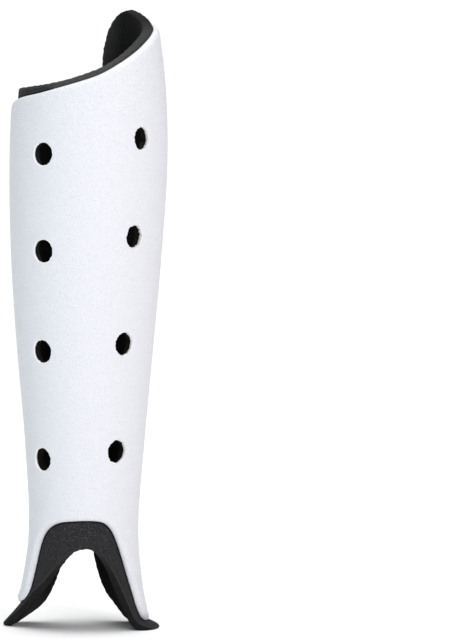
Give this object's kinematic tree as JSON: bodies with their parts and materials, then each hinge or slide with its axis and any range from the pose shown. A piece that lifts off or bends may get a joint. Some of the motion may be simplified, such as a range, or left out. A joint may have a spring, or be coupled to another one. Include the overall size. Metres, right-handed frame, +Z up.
{
  "type": "field hockey shin guard",
  "caption": "Wrap-round shin guard: a white moulded shell with vent holes on a thicker black foam liner, open at the back, with one tall wing and two flared ankle feet.",
  "frame": {"origin": "middle of the guard's footprint box, on the floor under its two feet", "axes": "+Z up along the leg, the shin faces -Y, the tall wing is on the +X side"},
  "size_m": [0.0886, 0.0858, 0.33],
  "materials": {
    "white_shell": "satin white moulded skin with a fine pebble grain",
    "black_foam": "matt black closed-cell foam with fine pale specks"
  },
  "bodies": {
    "root": {"outer_shell": "white_shell", "foam_liner": "black_foam"}
  },
  "joints": []
}
